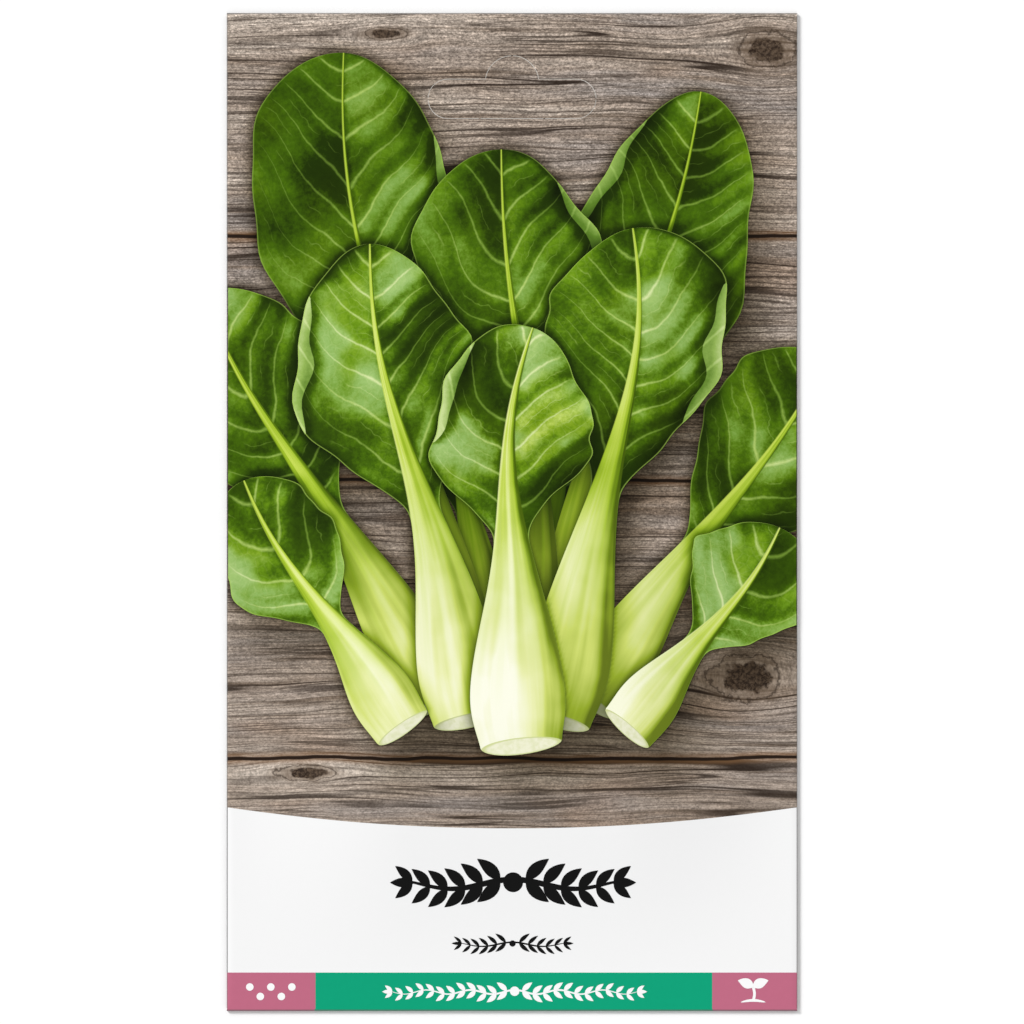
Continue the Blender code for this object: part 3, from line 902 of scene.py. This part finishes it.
def sheetLines():    # lines across and along the blank, also where folds start and end and where fields meet
    backEdge = leftFold - (frontRight - frontLeft - sheet["backEdgeGap"])
    across = gridLines(
        backEdge, (leftFold - sheet["sideBleed"], 20), (leftFold, 1), (frontLeft, 6), (fields["leftBox"], 15),
        (fields["rightBox"], 70), (frontRight, 15), (rightFold, 6), (rightFold + sheet["sideFlap"], 4))
    along = gridLines(
        -endFold - sheet["bottomFlap"], (-endFold - sheet["bleed"], 5), (-endFold, 1), (-frontEnd, 6),
        (-frontEnd + sheet["wingInset"], 1), (fields["bandTop"], 6), (fields["archMiddle"], 25),
        (fields["aboveArch"], 24), (frontEnd - sheet["wingInset"], 118), (frontEnd, 1), (endFold, 6),
        (endFold + sheet["bleed"], 1), (endFold + sheet["topFlap"], 8))
    return across, along


def flapSpot(across, along):    # the end flaps narrow towards their free edges, with clipped corners
    depth = np.abs(along) - endFold
    length = np.where(along > 0, sheet["topFlap"], sheet["bottomFlap"])
    share = np.maximum(depth / length, 0.0)
    clipped = np.maximum(share - sheet["clipFrom"], 0.0) / (1.0 - sheet["clipFrom"])
    inset = np.where(depth < -1e-9, 0.0, sheet["flapInset"] + sheet["flapTaper"] * (share + 0.5 * clipped))
    return across * (1.0 - inset / (packetWidth / 2))


def makeEnvelope(forms):
    acrossLines, alongLines = sheetLines()
    piece, column, row = addGrid("packet_paper", len(acrossLines) - 1, len(alongLines) - 1)
    mesh = piece.data
    across, straight = acrossLines[column], alongLines[row]
    bends = np.searchsorted(alongLines, [fields[name] for name in ("bandTop", "archMiddle", "aboveArch")])
    along = straight + (archLine(across) - fields["archMiddle"]) * np.interp(row, bends, (0, 1, 0))

    # Corners of the blank are cut away beside the end flaps
    for items in (mesh.edges, mesh.polygons):
        items.foreach_set("select", np.zeros(len(items), bool))
    beside = (across < frontLeft) | (across > frontRight)
    mesh.vertices.foreach_set("select", beside & (np.abs(straight) >= frontEnd))
    blank = {"blankAcross": across, "blankAlong": along, "blankStraight": straight}
    for name, values in blank.items():
        writeNumbers(mesh, name, values)
    selectOnly(piece)
    bpy.ops.object.mode_set(mode="EDIT")
    bpy.ops.mesh.select_mode(type="VERT")
    bpy.ops.mesh.delete(type="VERT")
    bpy.ops.object.mode_set(mode="OBJECT")
    across, along, straight = (takeNumbers(mesh, name) for name in blank)
    clearUv(mesh)
    writeUv(mesh, "sheet", np.stack([across, along], 1) / mm)
    writeUv(mesh, "straightened", np.stack([across, straight], 1) / mm)
    spots = fold(flapSpot(across, along), along)
    atCorner = np.clip((np.abs(along) - frontEnd) / sheet["wingInset"] + 1, 0, 1)    # square corners
    reach = (packetWidth / 2 - sheet["cornerRoom"]) / np.where(across > 0, frontRight, -frontLeft)
    spots[:, 0] *= 1 + atCorner * (reach - 1)
    setPoints(mesh, spots)

    # Each field of the print is its own finish; the boards, panel and bands also get painted shade along the
    # folds
    for finish in (boardsPrint(),
                   inkOnPaper("panelPrint", coatedPaper["panel"], "panelMottle", coatedPaper["foldShadeOnPanel"]),
                   inkOnPaper("bandGreen", coatedPaper["green"], "bandMottle", coatedPaper["foldShadeOnInk"]),
                   inkOnPaper("bandPink", coatedPaper["pink"], "bandMottle", coatedPaper["foldShadeOnInk"]),
                   backPrint(), barePaper()):
        mesh.materials.append(finish)
    names = mesh.materials.keys()
    corners, starts = readAll(mesh.loops, "vertex_index"), readAll(mesh.polygons, "loop_start")
    faceX, faceY = (np.add.reduceat(values[corners], starts) / 4 for values in (across, along))
    field = np.full(len(faceX), names.index("panelPrint"))
    onBoards = (faceY > archLine(faceX)) & (faceY < endFold + sheet["bleed"])
    inBand = (faceY < fields["bandTop"]) & (faceY > -endFold - sheet["bleed"])
    inBox = inBand & ((faceX < fields["leftBox"]) | (faceX > fields["rightBox"]))
    onBack, onFlap = faceX < leftFold - sheet["sideBleed"], faceX > rightFold
    for where, name in ((onBoards, "boardsPrint"), (inBand, "bandGreen"), (inBox, "bandPink"),
                        (onBack, "backPrint"), (onFlap, "barePaper")):
        field[where] = names.index(name)
    mesh.polygons.foreach_set("material_index", field.astype(np.int32))
    useModifier(piece, "SOLIDIFY", thickness=paper, offset=0.0, material_offset=len(names),
                material_offset_rim=len(names))
    cutSlotScore(piece)

    spots = pointsOf(mesh)
    mapEnvelope(mesh)
    shade = np.zeros(len(spots))
    front = np.nonzero((spots[:, 2] > frontZ) & (spots[:, 1] > fields["archMiddle"] - 2 * mm))[0]
    shade[front] = shadeAt(spots[front, :2] / mm, forms, leafShadow["boardsLevel"])
    writeNumbers(mesh, "shade", shade)
    selectOnly(piece)
    bpy.ops.object.shade_smooth_by_angle(angle=math.radians(sheet["smoothAngle"]))
    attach(piece, "root")
    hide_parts("paper_envelope")
    print("packet paper:", len(mesh.polygons), "faces")


def mapEnvelope(mesh):    # the blank laid out flat, with the arch straightened so that its edge stays sharp
    sizes, worn = readAll(mesh.polygons, "loop_total"), readAll(mesh.polygons, "material_index")
    places = readUv(mesh, "straightened")
    mesh.uv_layers.remove(mesh.uv_layers["straightened"])
    places[np.repeat(worn == mesh.materials.find("scoreLine"), sizes)] = sheet["plainSpot"]
    places = (places - places.min(0)) / np.ptp(places, axis=0)
    writeBakeMap(mesh, places, np.repeat(worn == mesh.materials.find("barePaper"), sizes))


# The hang slot, scored and still closed

hangSlot = {
    "length": 32.0 * mm,
    "height": 7.5 * mm,
    "belowTop": 16.35 * mm,
    "eyeRadius": 5.1 * mm,
    "eyeRaise": 3.1 * mm,
    "scoreWidth": 0.13 * mm,
    "scoreDepth": 0.06 * mm,
    "nick": 0.3 * mm,
    "cutRoom": 0.4 * mm,    # how far the cutter stands out of the paper
    "endSteps": 14,
    "eyeSteps": 22,
}


def slotStretches():    # the outline from nick to nick, as lists of points
    centreY = packetHeight / 2 - hangSlot["belowTop"]
    endRadiusHere = hangSlot["height"] / 2
    endX = hangSlot["length"] / 2 - endRadiusHere
    eyeY = centreY + hangSlot["eyeRaise"]
    eyeStart = math.asin((endRadiusHere - hangSlot["eyeRaise"]) / hangSlot["eyeRadius"])

    def arc(x, y, radius, start, end, steps):
        return [(x + radius * math.cos(a), y + radius * math.sin(a)) for a in spread(start, end, steps)]

    quarter = math.pi / 2
    outline = arc(endX, centreY, endRadiusHere, -quarter, quarter, hangSlot["endSteps"])
    outline += arc(0.0, eyeY, hangSlot["eyeRadius"], eyeStart, math.pi - eyeStart, hangSlot["eyeSteps"])
    outline += arc(-endX, centreY, endRadiusHere, quarter, 3 * quarter, hangSlot["endSteps"])
    outline = np.array(outline + [outline[0]])
    marks = lengthsAlong(outline)
    whole, bottom = marks[-1], marks[-2]
    steps = hangSlot["endSteps"]
    eyeTop = (marks[steps + 1] + marks[steps + 1 + hangSlot["eyeSteps"]]) / 2
    onBottom = [bottom + (whole - bottom) * share for share in (0.25, 0.75)]
    nicks = [marks[steps] / 2, eyeTop, bottom - marks[steps] / 2] + onBottom

    def at(distance):
        return [np.interp(distance % whole, marks, outline[:, axis]) for axis in range(2)]

    stretches = []
    for here, there in zip(nicks, nicks[1:] + [nicks[0] + whole]):
        start, end = here + hangSlot["nick"] / 2, there - hangSlot["nick"] / 2
        inner = [m for m in np.concatenate([marks[:-1], marks[:-1] + whole]) if start < m < end]
        stretches.append([at(d) for d in [start] + inner + [end]])
    return stretches


def cutSlotScore(piece):    # a shallow groove in the front and in the flap behind it
    top, depth = frontZ + paper / 2, hangSlot["scoreDepth"]
    room = hangSlot["cutRoom"]
    walls = []
    for base, height in ((top - depth, room), (-room, room + depth)):
        curve = bpy.data.curves.new("scorePath", "CURVE")
        curve.dimensions = "2D"
        curve.fill_mode = "NONE"
        for points in slotStretches():
            spline = curve.splines.new("POLY")
            spline.points.add(len(points) - 1)
            for target, (x, y) in zip(spline.points, points):
                target.co = (x, y, 0.0, 1.0)
        selectOnly(addObject("scoreWall", curve))
        bpy.ops.object.convert(target="MESH")
        wall = bpy.context.object
        setPoints(wall.data, pointsOf(wall.data) + np.array([0, 0, base]))
        upwards = {"TRANSFORM_OT_translate": {"value": (0, 0, height)}}
        editMesh(wall, (bpy.ops.mesh.extrude_region_move, upwards))
        useModifier(wall, "SOLIDIFY", thickness=hangSlot["scoreWidth"], offset=0.0)
        editMesh(wall, (bpy.ops.mesh.normals_make_consistent, {"inside": False}))
        walls.append(wall)
    cutter = joinAll(walls, "scoreCutter")
    cutter.data.materials.append(onPaper(newPrint("scoreLine"), coatedPaper["score"]))
    useModifier(piece, "BOOLEAN", operation="DIFFERENCE", solver="EXACT", object=cutter,
                material_mode="TRANSFER")
    bpy.data.objects.remove(cutter, do_unlink=True)


def barePaper():
    material = newMaterial("barePaper", coatedPaper["bareGloss"])
    cloud = noise(objectPlace(), coatedPaper["bareScale"], detail=4.0, roughness=0.6)
    return onPaper(material, blend(cloud, coatedPaper["bare"], coatedPaper["bareDark"]))


backDesign = {    # mm from the left fold as the back is read, and mm up from the packet's middle
    "bar": (10.0, 96.0, 50.0, 58.0),
    "strip": (10.0, 96.0, 30.0, 38.0),
    "cells": 12,
    "cellLine": 0.3,
    "firstFilled": (2.0, 5.0),         # cells filled in the first colour, and in the second
    "secondFilled": (6.0, 9.0),
    "ruled": (10.0, 96.0, -38.0, 20.0),
    "ruleGap": 5.8,
    "ruleLine": 0.25,
    "line": srgb(150, 154, 152),
    "paleGreen": srgb(150, 208, 184),
    "palePink": srgb(222, 168, 184),
}


def backPrint():    # pale panel with a plain bar, a strip of twelve cells for the year and ruled lines
    material = newPrint("backPrint")
    across, along = uvOf("sheet")
    inward = leftFold / mm - across

    def within(value, low, high):
        return calc("COMPARE", value, (low + high) / 2, (high - low) / 2)

    def box(left, right, bottom, top):
        return within(inward, left, right) * within(along, bottom, top)

    def lineAt(count, half):    # a line at every whole number
        return calc("LESS_THAN", abs(count - calc("ROUND", count)), half)

    colour = inkField(coatedPaper["panel"], coatedPaper["backMottle"])
    colour = blend(box(*backDesign["bar"]), colour, coatedPaper["green"])
    left, right, bottom, top = backDesign["strip"]
    cell = (right - left) / backDesign["cells"]
    count = (inward - left) / cell
    for key, ink in (("firstFilled", "paleGreen"), ("secondFilled", "palePink")):
        filled = within(count, *backDesign[key]) * box(left, right, bottom, top)
        colour = blend(filled, colour, backDesign[ink])
    half = backDesign["cellLine"] / 2
    upright = lineAt(count, half / cell) * box(left - half, right + half, bottom, top)
    low, high = (box(left, right, level - half, level + half) for level in (bottom, top))
    colour = blend(calc("MAXIMUM", upright, calc("MAXIMUM", low, high)), colour, backDesign["line"])
    rule = lineAt(along / backDesign["ruleGap"], backDesign["ruleLine"] / 2 / backDesign["ruleGap"])
    return onPaper(material, blend(rule * box(*backDesign["ruled"]), colour, backDesign["line"]))


# Printed ornaments: leafy sprigs, seeds and a sprout. Places and sizes in mm from the packet's middle.

ornaments = {
    "black": srgb(20, 20, 20),
    "white": srgb(250, 250, 250),
    "title": {"middle": (0.2, -70.4), "half": 23.4, "stem": 0.55, "wave": 0.9, "waves": 1.0, "count": 6,
              "leaf": 6.1, "leafHalf": 1.25, "angle": 55.0, "seed": 1.9},
    "subtitle": {"middle": (0.1, -82.1), "half": 11.6, "stem": 0.16, "wave": 0.4, "waves": 1.0, "count": 6,
                 "leaf": 2.7, "leafHalf": 0.4, "angle": 52.0, "seed": 0.6},
    "band": {"middle": (0.5, -91.2), "half": 25.2, "stem": 0.17, "wave": 0.4, "waves": 3.0, "count": 12,
             "leaf": 2.5, "leafHalf": 0.52, "angle": 52.0, "seed": 0.9},
    "seeds": {"middle": (-45.9, -91.3), "pitch": 2.0, "count": 5, "rise": 0.9, "radius": 0.72},
    "sprout": {"middle": (45.9, -91.3), "height": 3.4, "stem": 0.26, "leaf": 3.1, "leafHalf": 0.95,
               "ground": 2.4},
}


def addStrip(line, halfWidths, level, columns=4):    # a flat strip of ink along a line
    piece, column, row = addGrid("strip", columns, len(line) - 1)
    reach = (column / columns * 2 - 1) * halfWidths[row]
    layFlat(piece, line[row] + sideOf(line)[row] * reach[:, None])
    faceUp(piece)
    layInk(piece, level)
    return piece


def addLeaflet(start, degrees, length, half, level=1, curl=0.18):
    t = 0.5 - 0.5 * np.cos(np.linspace(0, math.pi, 13))
    ahead = np.array([math.cos(math.radians(degrees)), math.sin(math.radians(degrees))])
    aside = np.array([-ahead[1], ahead[0]])
    line = np.array(start) + length * (t[:, None] * ahead + curl * (t * t)[:, None] * aside)
    return addStrip(line, half * np.sin(math.pi * t ** 0.85) ** 0.9, level)


def addSeed(x, y, radius, level=1):
    t = np.cos(np.linspace(math.pi, 0, 17))
    line = np.column_stack([np.full(len(t), x), y + radius * t])
    return addStrip(line, radius * np.sqrt(np.maximum(1 - t * t, 0)), level, columns=6)


def addSprig(spec):    # a waved stem with pairs of leaflets that grow outwards from a seed in the middle
    middleX, middleY = spec["middle"]
    half = spec["half"]
    x = np.linspace(-1, 1, 97) * (half - spec["leaf"] * 0.6)

    def stemY(at):
        return middleY + spec["wave"] * np.cos(math.tau * spec["waves"] * at / half) - 0.4 * spec["wave"]

    taper = spec["stem"] * np.clip((half - np.abs(x)) / (half * 0.7), 0, 1) ** 0.6
    made = [addStrip(np.column_stack([middleX + x, stemY(x)]), taper, 0, columns=2)]
    made.append(addSeed(middleX, middleY, spec["seed"]))
    for hand in (-1, 1):
        for number in range(spec["count"]):
            share = (number + 0.75) / spec["count"]
            at = hand * share * (half - spec["leaf"] * 0.55)
            scale = 1 - 0.3 * share
            for up in (-1, 1):
                degrees = up * spec["angle"] if hand > 0 else 180 - up * spec["angle"]
                made.append(addLeaflet((middleX + at, stemY(at)), degrees, spec["leaf"] * scale,
                                       spec["leafHalf"] * scale, curl=-0.2 * up * hand))
        end = hand * (half - spec["leaf"] * 0.75)
        made.append(addLeaflet((middleX + end, stemY(end)), 0 if hand > 0 else 180, spec["leaf"] * 0.75,
                               spec["leafHalf"] * 0.75, level=2, curl=0.0))
    return made


def addSeedRow(spec):
    middleX, middleY = spec["middle"]
    first = -(spec["count"] - 1) / 2 * spec["pitch"]
    places = [(middleX + first + number * spec["pitch"], middleY + spec["rise"] * (-1) ** number)
              for number in range(spec["count"])]
    return [addSeed(x, y, spec["radius"]) for x, y in places]


def addSprout(spec):
    middleX, middleY = spec["middle"]
    foot = middleY - spec["height"] / 2
    t = np.linspace(0, 1, 17)
    bow = np.sin(math.pi * t)
    stem = np.column_stack([middleX + 0.25 * bow, foot + spec["height"] * 0.75 * t])
    ground = np.column_stack([middleX + spec["ground"] * (2 * t - 1), foot + 0.35 * bow - 0.3])
    top = stem[-1]
    return [
        addStrip(stem, np.full(len(t), spec["stem"]), 0, columns=2),
        addStrip(ground, spec["stem"] * bow ** 0.5, 1, columns=2),
        addLeaflet(top, 38, spec["leaf"], spec["leafHalf"], level=1, curl=-0.25),
        addLeaflet(top, 142, spec["leaf"], spec["leafHalf"], level=2, curl=0.25),
    ]


def makeOrnaments():
    title, subtitle, band = (addSprig(ornaments[name]) for name in ("title", "subtitle", "band"))
    light = band + addSeedRow(ornaments["seeds"]) + addSprout(ornaments["sprout"])
    for name, made, ink in (
            ("printed_sprigs_dark", title + subtitle, "black"),
            ("printed_sprigs_light", light, "white")):
        finish = inkOnPaper(name + "_ink", ornaments[ink], "ornamentMottle")
        for piece in made:
            piece.data.materials.append(finish)
        joined = joinAll(made, name)
        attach(joined, "root")
        print(name + ":", len(joined.data.polygons), "faces")


# What the packet holds

contents = {
    "film": srgb(206, 208, 212),
    "filmDark": srgb(168, 172, 178),
    "filmRoughness": 0.26,
    "filmMetal": 0.85,
    "filmClouds": 45.0,        # per metre
    "crinkle": 260.0,          # per metre
    "crinkleHeight": 0.35 * mm,
    "coat": srgb(74, 42, 26),
    "coatDark": srgb(36, 18, 12),
    "coatRoughness": 0.6,
    "coatClouds": 420.0,       # per metre
    "pits": 5200.0,            # per metre
    "pitDepth": 0.05 * mm,
}


def sachetFilm():    # metallised film with crinkles
    material = newMaterial("sachetFilm", contents["filmRoughness"], contents["filmMetal"])
    place = objectPlace()
    folds = cellsOf(shifted(place, noise(place, 90.0) * 0.01), contents["crinkle"])
    clouds = noise(place, contents["filmClouds"], 4.0)
    height = rangeOf(folds, 0.0, 0.35) + clouds
    return wear(material, {"Base Color": blend(clouds, contents["film"], contents["filmDark"]),
                           "Normal": bumpOf(height, contents["crinkleHeight"], 0.6)})


def seedCoat():    # dark round seeds, finely pitted and uneven in tone
    material = newMaterial("seedCoat", contents["coatRoughness"])
    place = objectPlace()
    tone = rangeOf(noise(place, contents["coatClouds"], 3.0), 0.3, 0.7)
    pits = cellsOf(place, contents["pits"], feature="F1")
    return wear(material, {"Base Color": blend(tone, contents["coat"], contents["coatDark"]),
                           "Normal": bumpOf(pits, contents["pitDepth"], 0.5)})


def dressContents():
    for name, finish in (("seed_sachet", sachetFilm()), ("seeds", seedCoat())):
        bpy.data.objects[name].material_slots[0].material = finish
    print("sachet and seeds dressed")


# Floor, light and camera

studio = {
    "floorSize": 4.0,
    "floorRoughness": 0.9,
    "lens": 200.0,
    "sensor": 36.0,
    "frameHeight": 194.9 * mm,     # what the picture takes in, at the packet's front
    "key": 2.45,
    "keyFrom": (-0.68, 0.68, 0.6),
    "keySize": 16.0,               # degrees
    "horizon": 0.9,
    "zenith": 0.4,
    "rise": (0.35, 0.95),          # how high in the sky one turns to the other
}


def makeStudio():
    freshSelection()
    bpy.ops.mesh.primitive_plane_add(size=studio["floorSize"])
    floor = bpy.context.object
    floor.name = "floor"
    white = (1.0, 1.0, 1.0, 1.0)
    whiteFloor = newMaterial("whiteFloor", studio["floorRoughness"])
    floor.data.materials.append(wear(whiteFloor, {"Base Color": white, "Specular IOR Level": 0.0}))

    world = bpy.context.scene.world or bpy.data.worlds.new("studio")
    bpy.context.scene.world = world
    world.use_nodes = True
    making["tree"] = world.node_tree
    backdrop = world.node_tree.nodes.get("Background") or world.node_tree.nodes.new("ShaderNodeBackground")
    height = put("ShaderNodeSeparateXYZ", {0: put("ShaderNodeTexCoord", {})}, output=2)
    strength = rangeOf(height, *studio["rise"], studio["horizon"], studio["zenith"])
    plug(strength, backdrop.inputs["Strength"])
    plug(white, backdrop.inputs["Color"])

    sun = bpy.data.lights.new("key", "SUN")
    sun.energy = studio["key"]
    sun.angle = math.radians(studio["keySize"])
    lamp = addObject("key", sun)
    lamp.rotation_euler = Vector(studio["keyFrom"]).to_track_quat("Z", "Y").to_euler()

    camera = addObject("camera", bpy.data.cameras.new("camera"))
    camera.data.lens = studio["lens"]
    camera.data.sensor_width = studio["sensor"]
    distance = studio["frameHeight"] * studio["lens"] / studio["sensor"]
    camera.location = (0.0, 0.0, distance + frontZ)
    camera.data.clip_start = 0.01
    bpy.context.scene.camera = camera
    bpy.context.scene.view_settings.view_transform = "Standard"
    print("studio ready")


leafForms = [leafForm(leaf) for leaf in leafBed["leaves"]]
makeEnvelope(leafForms)
makeLeaves(leafForms)
makeOrnaments()
dressContents()
makeStudio()
